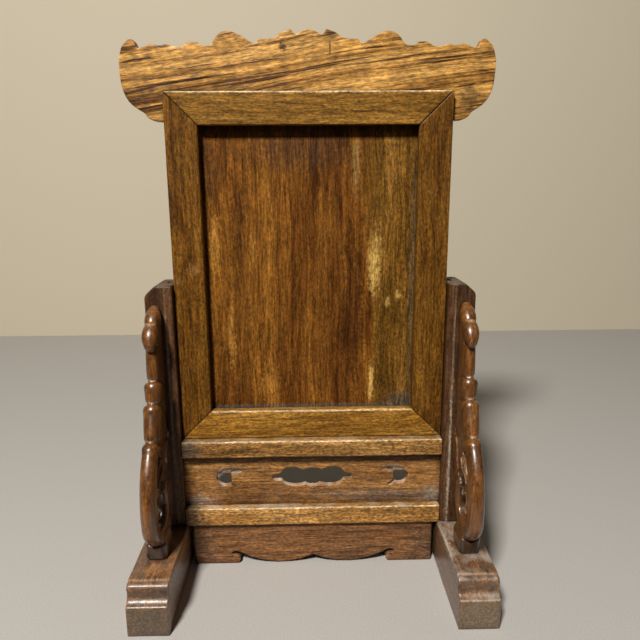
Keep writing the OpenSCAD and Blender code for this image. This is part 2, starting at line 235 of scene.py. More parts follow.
class SCREEN_PG_stage(bpy.types.PropertyGroup):
    """Floor, light and camera"""
    floor: tint("Floor", "Colour of the floor", (0.46, 0.445, 0.43))
    wall: tint("Wall", "Colour of the backdrop", (0.62, 0.56, 0.44))
    key: power("Key light", "Power of the key light", 72)
    fill: power("Fill light", "Power of the fill light", 0.3)
    sky: share("Sky", "Strength of the light from all round", 0.018)
    lens: FloatProperty(name="Lens", description="Focal length in millimetres", unit="CAMERA", min=10, default=33.75)


class SCREEN_PG_settings(bpy.types.PropertyGroup):
    """All settings of the table screen"""
    feet: PointerProperty(type=SCREEN_PG_feet)
    posts: PointerProperty(type=SCREEN_PG_posts)
    spandrels: PointerProperty(type=SCREEN_PG_spandrels)
    stretchers: PointerProperty(type=SCREEN_PG_stretchers)
    waist: PointerProperty(type=SCREEN_PG_waist)
    aprons: PointerProperty(type=SCREEN_PG_aprons)
    frame: PointerProperty(type=SCREEN_PG_frame)
    boards: PointerProperty(type=SCREEN_PG_boards)
    crest: PointerProperty(type=SCREEN_PG_crest)
    stage: PointerProperty(type=SCREEN_PG_stage)


# Shader building blocks

def put(tree, kind, inputs=None, **settings):
    """Adds a node, sets it up, and feeds or links its inputs."""
    node = tree.nodes.new(kind)
    for key, value in settings.items():
        setattr(node, key, value)
    for key, value in (inputs or {}).items():
        if isinstance(value, bpy.types.NodeSocket):
            tree.links.new(value, node.inputs[key])
        else:
            node.inputs[key].default_value = value
    return node


def calc(tree, operation, a, b=0.0, clamp=False):
    return put(tree, "ShaderNodeMath", {0: a, 1: b}, operation=operation, use_clamp=clamp).outputs[0]


def vector_calc(tree, operation, a, b):
    return put(tree, "ShaderNodeVectorMath", {0: a, 1: b}, operation=operation).outputs[0]


def spread(tree, value, low, high, to_low=0.0, to_high=1.0):
    """Value mapped from one range to another with soft ends."""
    node = put(tree, "ShaderNodeMapRange", {"Value": value, 1: low, 2: high, 3: to_low, 4: to_high})
    node.interpolation_type = "SMOOTHSTEP"
    return node.outputs[0]


def blend(tree, factor, a, b, kind="MIX"):
    """Two colours blended. The mix node has its factor at input 0 and its colours at inputs 6 and 7."""
    node = put(tree, "ShaderNodeMix", data_type="RGBA", blend_type=kind)
    for index, value in ((0, factor), (6, a), (7, b)):
        if isinstance(value, bpy.types.NodeSocket):
            tree.links.new(value, node.inputs[index])
        elif index:
            node.inputs[index].default_value = rgba(value[:3])
        else:
            node.inputs[index].default_value = value
    return node.outputs[2]


def rgba(colour):
    return (*colour, 1.0)


def grey(tree, value):
    return put(tree, "ShaderNodeCombineColor", {0: value, 1: value, 2: value}).outputs[0]


def cloud(tree, vector, scale, detail=2.0, roughness=0.5, distortion=0.0):
    """Noise value over a vector."""
    return put(tree, "ShaderNodeTexNoise", {
        "Vector": vector, "Scale": scale, "Detail": detail, "Roughness": roughness, "Distortion": distortion,
    }).outputs[0]


def facing(tree, axis):
    """How far a face looks along an axis."""
    normal = put(tree, "ShaderNodeNewGeometry").outputs["Normal"]
    return put(tree, "ShaderNodeSeparateXYZ", {0: normal}).outputs[axis]


def new_group(name, inputs, outputs):
    """Empty shader node group with named sockets, its input sockets and its output node."""
    tree = bpy.data.node_groups.new(name, "ShaderNodeTree")
    for label, kind, value in inputs:
        socket = tree.interface.new_socket(label, in_out="INPUT", socket_type=kind)
        if value is not None:
            socket.default_value = value
    for label, kind in outputs:
        tree.interface.new_socket(label, in_out="OUTPUT", socket_type=kind)
    return tree, tree.nodes.new("NodeGroupInput").outputs, tree.nodes.new("NodeGroupOutput")


def make_grain(name):
    """Wood grain that runs along Z of the vector: bands, streaks, fibres and pores."""
    tree, given, out = new_group(name, [
        ("Vector", "NodeSocketVector", None),
        ("Wood", "NodeSocketColor", (0.2, 0.1, 0.03, 1)),
        ("Dark", "NodeSocketColor", (0.08, 0.03, 0.01, 1)),
        ("Pale", "NodeSocketColor", (0.4, 0.2, 0.06, 1)),
        ("Seed", "NodeSocketFloat", 0.0),
        ("Bands", "NodeSocketFloat", 0.6),
        ("Streaks", "NodeSocketFloat", 0.5),
        ("Pores", "NodeSocketFloat", 0.6),
        ("Width", "NodeSocketFloat", 1.0),
        ("Ripple", "NodeSocketFloat", 0.0),
    ], [("Color", "NodeSocketColor"), ("Shade", "NodeSocketColor"), ("Height", "NodeSocketFloat"),
        ("Roughness", "NodeSocketFloat")])

    def layer(vector, cells, detail, roughness=0.5, distortion=0.0):
        """Noise with its own number of cells across and along the grain."""
        return cloud(tree, vector_calc(tree, "MULTIPLY", vector, cells), 1.0, detail, roughness, distortion)

    def part(amount, value, low, high, to_low=0.0, to_high=1.0):
        """A mapped noise value times an amount."""
        return calc(tree, "MULTIPLY", spread(tree, value, low, high, to_low, to_high), amount)

    steps = {axis: calc(tree, "MULTIPLY", given["Seed"], step) for axis, step in enumerate(SEED_SHIFT)}
    place = vector_calc(tree, "ADD", given["Vector"], put(tree, "ShaderNodeCombineXYZ", steps).outputs[0])
    slow = put(tree, "ShaderNodeTexNoise", {"Vector": vector_calc(tree, "MULTIPLY", place, BEND_STRETCH),
                                           "Scale": BEND_CELLS, "Detail": 2.0}).outputs[1]
    sway = vector_calc(tree, "MULTIPLY", vector_calc(tree, "SUBTRACT", slow, (0.5, 0.5, 0.5)), BEND_REACH)
    bent = vector_calc(tree, "ADD", place, sway)
    wide = put(tree, "ShaderNodeVectorMath", {0: bent, "Scale": given["Width"]}, operation="SCALE").outputs[0]

    band = layer(wide, BAND_CELLS, 5.0, 0.65, 0.4)
    streak = layer(wide, STREAK_CELLS, 4.0, 0.7)
    fibre = layer(bent, FIBRE_CELLS, 4.0, 0.75)
    pore = layer(bent, PORE_CELLS, 1.0)
    patch = layer(bent, PATCH_CELLS, 3.0, 0.55)
    speck = layer(bent, SPECK_CELLS, 2.0, 0.7)
    ripple = layer(bent, RIPPLE_CELLS, 3.0, 0.6)

    colour = blend(tree, part(given["Bands"], band, 0.46, 0.74), given["Wood"], given["Pale"])
    colour = blend(tree, part(given["Bands"], band, 0.52, 0.30), colour, given["Dark"])
    colour = blend(tree, part(given["Streaks"], streak, 0.50, 0.34), colour, given["Dark"])
    colour = blend(tree, part(0.55, patch, 0.56, 0.80), colour, given["Pale"])
    colour = blend(tree, part(0.5, patch, 0.44, 0.22), colour, given["Dark"])

    dash = part(given["Pores"], pore, 0.50, 0.66)
    fleck = part(given["Pores"], speck, 0.3, 0.7, -0.48, 0.48)
    wave = part(given["Ripple"], ripple, 0.3, 0.7, -0.6, 0.6)
    shade = calc(tree, "ADD", spread(tree, fibre, 0.28, 0.72, 0.45, 1.55), wave)
    shade = calc(tree, "MULTIPLY", shade, calc(tree, "SUBTRACT", 1.0, calc(tree, "MULTIPLY", dash, 0.5)))
    shade = calc(tree, "MULTIPLY", shade, calc(tree, "ADD", 1.0, fleck))
    shade = grey(tree, shade)

    height = calc(tree, "SUBTRACT", calc(tree, "MULTIPLY", fibre, 0.45), dash)
    rough = calc(tree, "ADD", calc(tree, "MULTIPLY", dash, 0.25), spread(tree, fibre, 0.2, 0.8, -0.06, 0.06))
    tree.links.new(blend(tree, 1.0, colour, shade, "MULTIPLY"), out.inputs["Color"])
    tree.links.new(shade, out.inputs["Shade"])
    tree.links.new(height, out.inputs["Height"])
    tree.links.new(rough, out.inputs["Roughness"])
    return tree


def make_wear_and_corner_shade(name):
    """Masks of rubbed outer edges, and of inner corners darkened with dirt and painted shade."""
    tree, given, out = new_group(name, [
        ("Vector", "NodeSocketVector", None),
        ("Edge", "NodeSocketFloat", 0.0016),
        ("Corner", "NodeSocketFloat", 0.012),
    ], [("Rubbed", "NodeSocketFloat"), ("GrimeAndShade", "NodeSocketFloat")])
    edges = put(tree, "ShaderNodeAmbientOcclusion", {"Distance": given["Edge"]},
                samples=WEAR_RAYS, inside=True, only_local=True).outputs["AO"]
    corners = put(tree, "ShaderNodeAmbientOcclusion", {"Distance": given["Corner"]}, samples=WEAR_RAYS).outputs["AO"]
    uneven = cloud(tree, given["Vector"], WEAR_CELLS, 3.0, 0.6)
    rubbed = calc(tree, "MULTIPLY", spread(tree, edges, 0.78, 0.42), spread(tree, uneven, 0.34, 0.66))
    grime_and_shade = calc(tree, "MULTIPLY", spread(tree, corners, 0.80, 0.25), spread(tree, uneven, 0.2, 0.6, 0.6, 1.0))
    tree.links.new(rubbed, out.inputs["Rubbed"])
    tree.links.new(grime_and_shade, out.inputs["GrimeAndShade"])
    return tree


def make_dust(name):
    """Mask of dust that settles on faces that look up, in cloudy patches."""
    tree, given, out = new_group(name, [
        ("Vector", "NodeSocketVector", None),
        ("Amount", "NodeSocketFloat", 0.4),
        ("Everywhere", "NodeSocketFloat", 0.15),
    ], [("Mask", "NodeSocketFloat")])
    level = calc(tree, "MAXIMUM", spread(tree, facing(tree, "Z"), 0.25, 0.9), given["Everywhere"])
    cloudy = spread(tree, cloud(tree, given["Vector"], DUST_CLOUD_CELLS, 5.0, 0.65, 0.4), 0.36, 0.68)
    fine = spread(tree, cloud(tree, given["Vector"], DUST_FINE_CELLS, 2.0, 0.6), 0.35, 0.65, 0.55, 1.0)
    amount = calc(tree, "MULTIPLY", fine, given["Amount"])
    mask = calc(tree, "MULTIPLY", calc(tree, "MULTIPLY", level, cloudy), amount, True)
    tree.links.new(mask, out.inputs["Mask"])
    return tree


def make_painted_side_shade(name):
    """Mask of faces that look left or right, where shade is painted darker than on the front."""
    tree, given, out = new_group(name, [
        ("Vector", "NodeSocketVector", None),
        ("Amount", "NodeSocketFloat", 0.5),
    ], [("Mask", "NodeSocketFloat")])
    turned = spread(tree, calc(tree, "ABSOLUTE", facing(tree, "X")), 0.3, 0.95)
    uneven = spread(tree, cloud(tree, given["Vector"], SIDES_CELLS, 3.0, 0.6), 0.3, 0.7, 0.7, 1.0)
    mask = calc(tree, "MULTIPLY", calc(tree, "MULTIPLY", turned, uneven), given["Amount"], True)
    tree.links.new(mask, out.inputs["Mask"])
    return tree


def make_spot(name):
    """Mask of a soft ragged spot at a place on a piece."""
    tree, given, out = new_group(name, [
        ("Vector", "NodeSocketVector", None),
        ("Centre", "NodeSocketVector", (0.0, 0.0, 0.0)),
        ("Reach", "NodeSocketVector", (0.01, 0.01, 0.01)),
        ("Ragged", "NodeSocketFloat", 0.4),
    ], [("Mask", "NodeSocketFloat")])
    away = vector_calc(tree, "SUBTRACT", given["Vector"], given["Centre"])
    away = vector_calc(tree, "DIVIDE", away, given["Reach"])
    far = put(tree, "ShaderNodeVectorMath", {0: away}, operation="LENGTH").outputs["Value"]
    uneven = calc(tree, "SUBTRACT", cloud(tree, given["Vector"], SPOT_CELLS, 4.0, 0.7), 0.5)
    ragged = calc(tree, "MULTIPLY", uneven, calc(tree, "MULTIPLY", given["Ragged"], 3.0))
    tree.links.new(spread(tree, calc(tree, "ADD", far, ragged), 1.15, 0.25), out.inputs["Mask"])
    return tree


def call(tree, name, make, inputs):
    """Outputs of the node group of that name, which is made on first use."""
    made = bpy.data.node_groups.get(name) or make(name)
    return put(tree, "ShaderNodeGroup", inputs, node_tree=made).outputs


def wood(name, colours, along, seed, bands=0.6, streaks=0.5, pores=0.6, width=1.0, ripple=0.0,
         squeeze=(1.0, 1.0, 1.0), rough=0.42, gloss=0.0, shine=0.15, rub=0.5, worn=None, edge=0.0016,
         grime_and_shade=0.6, corner=0.012, dust=0.0, everywhere=0.1, dust_tint=(0.42, 0.36, 0.30), sides=0.0, spots=()):
    """Waxed wood with its grain along one axis of the object, rubbed edges, dirt and painted shade in inner corners,
    painted shade on faces that look sideways, dust and local spots. The colours are those of the wood, its dark grain
    and its pale grain."""
    main, dark, pale = colours
    made = bpy.data.materials.new(name)
    made.use_nodes = True
    tree = made.node_tree
    tree.nodes.clear()
    place = put(tree, "ShaderNodeTexCoord").outputs["Object"]
    turned = put(tree, "ShaderNodeMapping", {"Vector": place, "Rotation": along, "Scale": squeeze}).outputs[0]
    grain = call(tree, "wood_grain", make_grain, {
        "Vector": turned, "Wood": rgba(main), "Dark": rgba(dark), "Pale": rgba(pale), "Seed": seed,
        "Bands": bands, "Streaks": streaks, "Pores": pores, "Width": width, "Ripple": ripple})
    wear = call(tree, "edge_wear", make_wear_and_corner_shade, {"Vector": place, "Edge": edge, "Corner": corner})
    colour = grain["Color"]
    for spot in spots:
        mask = call(tree, "spot", make_spot, {"Vector": place, "Centre": spot.centre, "Reach": spot.reach,
                                              "Ragged": spot.ragged})["Mask"]
        grained = blend(tree, 1.0, spot.tint, grain["Shade"], "MULTIPLY")
        colour = blend(tree, calc(tree, "MULTIPLY", mask, spot.strength), colour, grained)
    # Painted shade: faces that look left or right get darker
    if sides > 0:
        mask = call(tree, "sides", make_painted_side_shade, {"Vector": place, "Amount": sides})["Mask"]
        colour = blend(tree, mask, colour, [c * SIDES_SHADE for c in dark])
    # Inner corners found by occlusion get darker: dirt and painted shade
    mask = calc(tree, "MULTIPLY", wear["GrimeAndShade"], grime_and_shade)
    colour = blend(tree, mask, colour, [c * GRIME_SHADE for c in dark])
    mask = calc(tree, "MULTIPLY", wear["Rubbed"], rub)
    colour = blend(tree, mask, colour, worn or [min(1.0, c * WORN_SHADE) for c in pale])
    roughness = calc(tree, "ADD", grain["Roughness"], rough)
    if dust > 0:
        mask = call(tree, "dust", make_dust, {"Vector": place, "Amount": dust, "Everywhere": everywhere})["Mask"]
        colour = blend(tree, mask, colour, dust_tint)
        roughness = calc(tree, "ADD", roughness, calc(tree, "MULTIPLY", mask, DUST_ROUGHNESS), True)
    bump = put(tree, "ShaderNodeBump", {"Height": grain["Height"], "Strength": BUMP_STRENGTH,
                                        "Distance": BUMP_DEPTH}).outputs[0]
    shader = put(tree, "ShaderNodeBsdfPrincipled", {
        "Base Color": colour, "Roughness": roughness, "Normal": bump, "Coat Weight": gloss,
        "Coat Roughness": COAT_ROUGHNESS, "IOR": WAX_IOR, "Specular IOR Level": shine})
    out = put(tree, "ShaderNodeOutputMaterial")
    tree.links.new(shader.outputs[0], out.inputs["Surface"])
    return made


def levelled(colours, level):
    """Colours that are all lighter or darker by one factor."""
    return [[level * c for c in colour] for colour in colours]


# Piece building blocks

def body_of(node):
    for body, nodes in frame["record"]["behaviour"]["bodies"].items():
        if node in nodes:
            return body
    raise RuntimeError("no body holds " + node)


def reach_of(node):
    """Lowest and highest corner of a CAD node."""
    piece = frame["nodes"][node]
    corners = [piece.matrix_world @ v.co for v in piece.data.vertices]
    return [Vector([pick(c[axis] for c in corners) for axis in range(3)]) for pick in (min, max)]


def limited(*values):
    """The lowest of the values, held between 0 and 1."""
    return max(0.0, min(1.0, *values))


def eased(piece, name, rounds):
    smooth = piece.modifiers.new(name, "SMOOTH")
    smooth.factor = EASE
    smooth.iterations = rounds


def baked(piece):
    """Applies the piece's modifiers and returns its new mesh."""
    held = bpy.context.evaluated_depsgraph_get()
    mesh = bpy.data.meshes.new_from_object(piece.evaluated_get(held))
    piece.modifiers.clear()
    piece.data = mesh
    return mesh


def softened(node, material, voxel, rounds=4, keep=0.35, sway=0.00012, carve=None):
    """New piece in a node's place: its form with eased, slightly uneven edges, as worn wood has."""
    mesh = frame["nodes"][node].data.copy()
    piece = bpy.data.objects.new("worn_" + node, mesh)
    bpy.context.scene.collection.objects.link(piece)
    welded = bmesh.new()
    welded.from_mesh(mesh)
    bmesh.ops.remove_doubles(welded, verts=welded.verts, dist=WELD_DISTANCE)
    welded.to_mesh(mesh)
    welded.free()
    cells = piece.modifiers.new("cells", "REMESH")
    cells.mode = "VOXEL"
    cells.voxel_size = voxel
    eased(piece, "ease", rounds)
    mesh = baked(piece)
    if not len(mesh.vertices):
        raise RuntimeError("nothing left of " + node)
    places = []
    for v in mesh.vertices:
        lift = sway * noise.noise(v.co * SWAY_CELLS)
        if carve:
            lift += carve(v.co, v.normal)
        place = v.co + v.normal * lift
        place.z = max(place.z, 0.0)
        places.append(place)
    for v, place in zip(mesh.vertices, places):
        v.co = place
    if carve:
        eased(piece, "settle", SETTLE_ROUNDS)
    thin = piece.modifiers.new("thin", "DECIMATE")
    thin.ratio = keep
    mesh = baked(piece)
    mesh.materials.clear()
    mesh.materials.append(material)
    for face in mesh.polygons:
        face.use_smooth = True
    level = piece.modifiers.new("level", "WEIGHTED_NORMAL")
    level.weight = NORMAL_WEIGHT
    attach(piece, body_of(node))
    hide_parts(node)


def finish_node(node, material):
    """Gives a CAD node its material and leaves its form as it is."""
    for s in frame["nodes"][node].material_slots:
        s.link = "OBJECT"
        s.material = material


# Operators

class SCREEN_OT_stage(bpy.types.Operator):
    """Floor, backdrop, lights and the camera"""
    bl_idname = "table_screen.stage"
    bl_label = "Stage"

    def plain(self, name, colour):
        """Matt paint with a fine fleck."""
        made = bpy.data.materials.new(name)
        made.use_nodes = True
        tree = made.node_tree
        place = put(tree, "ShaderNodeTexCoord").outputs["Object"]
        fine = spread(tree, cloud(tree, place, PAINT_CELLS), 0.3, 0.7, 0.94, 1.06)
        shader = next(n for n in tree.nodes if n.type == "BSDF_PRINCIPLED")
        tree.links.new(blend(tree, 1.0, colour, grey(tree, fine), "MULTIPLY"), shader.inputs["Base Color"])
        shader.inputs["Roughness"].default_value = 0.9
        return made

    def sheet(self, name, corners, material):
        """A flat sheet of the stage."""
        mesh = bpy.data.meshes.new(name)
        mesh.from_pydata(corners, [], [(0, 1, 2, 3)])
        mesh.materials.append(material)
        sheet = bpy.data.objects.new(name, mesh)
        bpy.context.scene.collection.objects.link(sheet)

    def lamp(self, name, strength, place, aim, size, colour):
        """A square light that looks at a place."""
        lamp = bpy.data.lights.new(name, "AREA")
        lamp.energy = strength
        lamp.size = size
        lamp.color = colour
        holder = bpy.data.objects.new(name, lamp)
        holder.location = place
        holder.rotation_mode = "QUATERNION"
        holder.rotation_quaternion = (Vector(aim) - Vector(place)).to_track_quat("-Z", "Y")
        bpy.context.scene.collection.objects.link(holder)

    def camera(self, name, lens):
        """The camera at the photograph's angle."""
        yaw, pitch, roll = CAMERA_YAW, CAMERA_PITCH, CAMERA_ROLL
        ahead = Vector((math.sin(yaw) * math.cos(pitch), math.cos(yaw) * math.cos(pitch), math.sin(pitch)))
        right = Vector((math.cos(yaw), -math.sin(yaw), 0))
        up = right.cross(ahead)
        side = math.cos(roll) * right + math.sin(roll) * up
        top = math.cos(roll) * up - math.sin(roll) * right
        view = bpy.data.cameras.new(name)
        view.lens = lens
        view.clip_start, view.clip_end = CAMERA_CLIP
        camera = bpy.data.objects.new(name, view)
        turn = Matrix((side, top, -ahead)).transposed().to_4x4()
        camera.matrix_world = Matrix.Translation(CAMERA_PLACE) @ turn
        bpy.context.scene.collection.objects.link(camera)
        return camera

    def execute(self, context):
        s = context.scene.table_screen.stage
        ends = (-HALF_WIDTH, HALF_WIDTH)
        front = [(x, FLOOR_FRONT, 0) for x in ends]
        back = [(x, WALL_PLACE, 0) for x in ends]
        top = [(x, WALL_PLACE, WALL_HEIGHT) for x in ends]
        self.sheet("floor", front + back[::-1], self.plain("floor_paint", s.floor))
        self.sheet("backdrop", back + top[::-1], self.plain("wall_paint", s.wall))
        self.lamp("key", s.key, *KEY)
        self.lamp("fill", s.fill, *FILL)
        world = bpy.data.worlds.new("studio")
        world.use_nodes = True
        sky = world.node_tree.nodes["Background"]
        sky.inputs["Color"].default_value = SKY_TINT
        sky.inputs["Strength"].default_value = s.sky
        context.scene.world = world
        context.scene.view_settings.view_transform = "Standard"
        context.scene.camera = self.camera("photo_view", s.lens)
        return {"FINISHED"}


class SCREEN_OT_feet(bpy.types.Operator):
    """The two feet, with worn toes"""
    bl_idname = "table_screen.feet"
    bl_label = "Feet"

    def marks(self, low, high):
        """Worn toe, painted highlights on the toe's top edge and on the bead, painted shade in the cove, and the
        marks of the left or the right foot.
        """
        x = (low.x + high.x) / 2
        toe_tint = (0.092, 0.063, 0.035) if x < 0 else (0.150, 0.105, 0.058)
        toe = Spot(toe_tint, (x, low.y, 0.012), (0.03, 0.003, 0.024), 0.3, 0.8)
        # Painted highlight along the sharp top edge of the toe
        toe_edge = Spot((0.50, 0.34, 0.20), (x, low.y, 0.0277), (0.03, 0.0016, 0.0013), 0.3, 0.8)
        # Painted highlight on the bead
        bead = Spot((0.42, 0.26, 0.14), (x, -0.0985, high.z), (0.03, 0.0018, 0.0016), 0.4, 0.7)
        # Painted shade in the cove
        cove = Spot((0.050, 0.028, 0.016), (x, -0.106, 0.0345), (0.03, 0.007, 0.0036), 0.3, 0.75)
        if x < 0:
            bare = Spot((0.36, 0.155, 0.045), (-0.1337, -0.0856, high.z), (0.012, 0.010, 0.005), 0.7, 0.7)
            stain = Spot((0.032, 0.024, 0.018), (-0.1235, -0.1040, 0.037), (0.0055, 0.008, 0.006), 0.6, 0.9)
            return toe, toe_edge, bead, cove, bare, stain
        bare = Spot((0.24, 0.100, 0.032), (0.1353, -0.0885, high.z), (0.006, 0.008, 0.005), 0.7, 0.6)
        scuff = Spot((0.44, 0.38, 0.31), (low.x, -0.05, high.z), (0.005, 0.05, 0.005), 0.7, 0.75)
        return toe, toe_edge, bead, cove, bare, scuff

    def execute(self, context):
        s = context.scene.table_screen.feet
        for seed, node, level, dusty in ((3.1, "left_foot", 0.88, 1.0), (5.7, "right_foot", 1.15, 4.0)):
            shades = levelled((s.wood, s.dark, s.pale), level)
            material = wood(node + "_wood", shades, ALONG_Y, seed, bands=1.0, pores=0.6, rough=0.38, gloss=0.25,
                            shine=0.9, rub=0.45, grime_and_shade=0.8, dust=dusty * s.dust, everywhere=0.12,
                            spots=self.marks(*reach_of(node)))
            softened(node, material, s.voxel, rounds=4, sway=0.0003)
        return {"FINISHED"}


class SCREEN_OT_posts(bpy.types.Operator):
    """The two grooved posts"""
    bl_idname = "table_screen.posts"
    bl_label = "Posts"

    def execute(self, context):
        s = context.scene.table_screen.posts
        for seed, node, hand in ((1.3, "left_post", -1), (2.9, "right_post", 1)):
            x = hand * POST_ARRIS
            marks = [Spot((0.24, 0.18, 0.12), (x, -POST_FRONT, 0.19), (0.0010, 0.004, 0.10), 0.5, 0.6)]
            if hand > 0:
                marks.append(Spot((0.36, 0.31, 0.25), (x, -POST_FRONT, 0.10), (0.0016, 0.003, 0.085), 0.8, 0.6))
            material = wood(node + "_wood", (s.wood, s.dark, s.pale), ALONG_Z, seed, bands=0.7, rough=0.42,
                            shine=0.25, rub=0.6, dust=s.dust, everywhere=0.08, spots=marks)
            softened(node, material, s.voxel, sway=0.0002)
        return {"FINISHED"}


class SCREEN_OT_spandrels(bpy.types.Operator):
    """The four carved standing spandrels"""
    bl_idname = "table_screen.spandrels"
    bl_label = "Spandrels"

    # Forward and upward place of each ring on the neck, and the slope of the neck there
    rings = ((0.0204, 0.1505, 0.35, -0.937), (0.0272, 0.1322, 0.438, -0.899), (0.0413, 0.1032, 0.438, -0.899))
    ring_reach = 0.012
    # Height of the bead at a ring and of the cut beside it, with their places and half lengths along the neck
    waves = ((0.0007, 0.0045, 0.003), (-0.0013, -0.0012, 0.0016))
    # The pad on the foot: the skin at its base that stays, its top, how it tapers, and how much wider it gets
    pad_skin, pad_top, pad_taper, pad_growth = 0.0005, 0.020, 0.007, 0.0030
    # The web of the scroll: half its thickness, how it faces, how deep it sinks, and where that starts and ends
    web_half, web_facing, web_depth = 0.0058, 0.9, 0.0020
    web_base, web_base_taper, web_top, web_top_taper = 0.014, 0.006, 0.146, 0.008
    # Pale lines across the neck, painted highlights on the bead shelves with rubbed wear: distance ahead, height and
    # strength
    rubbed = ((0.0400, 0.2455, 0.4), (0.0484, 0.1976, 0.75), (0.0554, 0.1802, 0.75), (0.0695, 0.1512, 0.75))

    def carving(self, place, normal):
        """Widens the pad on the foot, rounds the beads of the neck and sinks the flat web of the scroll."""
        ahead, up = abs(place.y) - POST_FRONT, place.z - FOOT_TOP
        swell = 0.0
        for ring_ahead, ring_up, run, fall in self.rings:
            along = (ahead - ring_ahead) * run + (up - ring_up) * fall
            across = (ahead - ring_ahead) * fall - (up - ring_up) * run
            if abs(along) < self.ring_reach and abs(across) < self.ring_reach:
                for height, middle, half in self.waves:
                    swell += height * math.exp(-((along - middle) / half) ** 2)
        if swell:
            return swell
        if place.z < FOOT_TOP + self.pad_skin:
            return 0.0
        taper = limited((FOOT_TOP + self.pad_top - place.z) / self.pad_taper)
        grown = self.pad_growth * (1 - abs(normal.z)) * taper
        if abs(normal.x) < self.web_facing or abs(abs(place.x) - SPANDREL_MIDDLE) > self.web_half:
            return grown
        return grown - self.web_depth * limited((self.web_top - place.z) / self.web_top_taper,
                                                (up - self.web_base) / self.web_base_taper)

    def marks(self, low, high):
        """Painted shade at the foot and in the hollow of the scroll, and pale lines across the neck that are painted
        highlights with rubbed wear.
        """
        x = (low.x + high.x) / 2
        front = -1 if low.y < 0 else 1
        # Painted shade over the foot and the pad under the drum
        foot = Spot((0.018, 0.008, 0.003), (x, 0, FOOT_TOP), (ALL_OVER, ALL_OVER, 0.022), 0.1, 0.9)
        # Painted shade in the hollow of the scroll
        hollow = Spot((0.010, 0.004, 0.0015), (x, front * 0.053, 0.096), (0.0085, 0.028, 0.036), 0.2, 0.9)
        # Painted highlights with rubbed wear on the shelves of the beads
        lines = [Spot((0.56, 0.40, 0.25), (x, front * y, z), (0.0075, 0.006, 0.0013), 0.4, strength)
                 for y, z, strength in self.rubbed]
        return [foot, hollow] + lines

    def execute(self, context):
        s = context.scene.table_screen.spandrels
        for seed, node, level in ((7.7, "left_front_spandrel", 1.25), (4.4, "right_front_spandrel", 1.15),
                                  (2.6, "left_rear_spandrel", 1.25), (9.1, "right_rear_spandrel", 1.15)):
            shades = levelled((s.wood, s.dark, s.pale), level)
            material = wood(node + "_wood", shades, ALONG_Z, seed, bands=0.7, streaks=0.5, pores=0.4, rough=0.30,
                            gloss=s.gloss, shine=0.5, rub=0.45, worn=s.worn, edge=0.0018, grime_and_shade=1.0, corner=0.022,
                            dust=0.1, everywhere=0.05, sides=0.45, spots=self.marks(*reach_of(node)))
            softened(node, material, s.voxel, rounds=2, keep=0.5, sway=0.0002, carve=self.carving)
        return {"FINISHED"}


class SCREEN_OT_stretchers(bpy.types.Operator):
    """The upper and the lower stretcher"""
    bl_idname = "table_screen.stretchers"
    bl_label = "Stretchers"

    def execute(self, context):
        s = context.scene.table_screen.stretchers
        for seed, node, level, dusty in ((4.2, "upper_stretcher", 0.9, 0.5), (8.8, "lower_stretcher", 1.3, 1.0)):
            low, high = reach_of(node)
            shades = levelled((s.wood, s.dark, s.pale), level)
            # Painted highlight with rubbed wear along the front top arris
            arris = Spot((0.74, 0.56, 0.33), (0, low.y, high.z), (0.3, 0.0020, 0.0014), 0.45, 0.85)
            # Darker greyish patch at the left end of the stretcher
            dark_left_end = Spot((0.085, 0.062, 0.042), (-0.118, low.y, (low.z + high.z) / 2), (0.020, 0.01, 0.03),
                            0.6, 0.8)
            material = wood(node + "_wood", shades, ALONG_X, seed, bands=0.6, pores=1.0, rough=0.4, shine=0.2,
                            rub=0.5, dust=dusty * s.dust, everywhere=0.05, dust_tint=(0.62, 0.50, 0.36),
                            spots=(arris, dark_left_end))
            softened(node, material, s.voxel, sway=0.0002)
        return {"FINISHED"}


class SCREEN_OT_waist_panel(bpy.types.Operator):
    """The pierced waist panel"""
    bl_idname = "table_screen.waist_panel"
    bl_label = "Waist panel"

    def marks(self):
        """Dust in the lower corners, haze, painted shade under the stretcher, and worn leaves."""
        front = reach_of("waist_panel")[0].y
        under = reach_of("upper_stretcher")[0].z - 0.004
        left_dust = Spot((0.36, 0.31, 0.26), (-0.1144, front, 0.064), (0.024, 0.01, 0.009), 0.8, 0.6)
        right_dust = Spot((0.30, 0.26, 0.22), (0.1147, front, 0.066), (0.016, 0.01, 0.014), 0.8, 0.6)
        haze = Spot((0.15, 0.125, 0.10), (0.06, front, 0.069), (0.075, 0.01, 0.008), 0.8, 0.5)
        # Painted shade under the upper stretcher, where its shadow falls on the panel
        grime_and_shade = Spot((0.040, 0.020, 0.010), (0, front, under), (0.4, 0.01, 0.0050), 0.3, 0.6)
        leaves = [Spot((0.20, 0.175, 0.155), (x, front, 0.0965), (0.015, 0.01, 0.005), 0.7, 0.6)
                  for x in (-0.078, 0.078)]
        return [left_dust, right_dust, haze, grime_and_shade] + leaves

    def execute(self, context):
        s = context.scene.table_screen.waist
        material = wood("waist_panel_wood", (s.wood, s.dark, s.pale), ALONG_X, 6.4, bands=0.8, streaks=0.6,
                        pores=0.7, rough=0.38, shine=0.25, rub=0.9, dust=1.0, everywhere=0.04,
                        dust_tint=(0.66, 0.56, 0.46), spots=self.marks())
        softened("waist_panel", material, s.voxel, rounds=3)
        return {"FINISHED"}


class SCREEN_OT_aprons(bpy.types.Operator):
    """The front and the rear apron"""
    bl_idname = "table_screen.aprons"
    bl_label = "Aprons"

    def execute(self, context):
        s = context.scene.table_screen.aprons
        ends = [Spot((0.055, 0.040, 0.030), (x, 0, 0.020), (0.030, 0.03, 0.030), 0.8, 0.8) for x in (-0.114, 0.114)]
        for seed, node in ((2.2, "front_apron"), (9.3, "rear_apron")):
            material = wood(node + "_wood", (s.wood, s.dark, s.pale), ALONG_X, seed, bands=0.9, streaks=0.8,
                            pores=0.7, rough=0.4, shine=0.25, rub=0.7, dust=0.2, everywhere=0.2, spots=ends)
            softened(node, material, s.voxel, rounds=3)
        return {"FINISHED"}


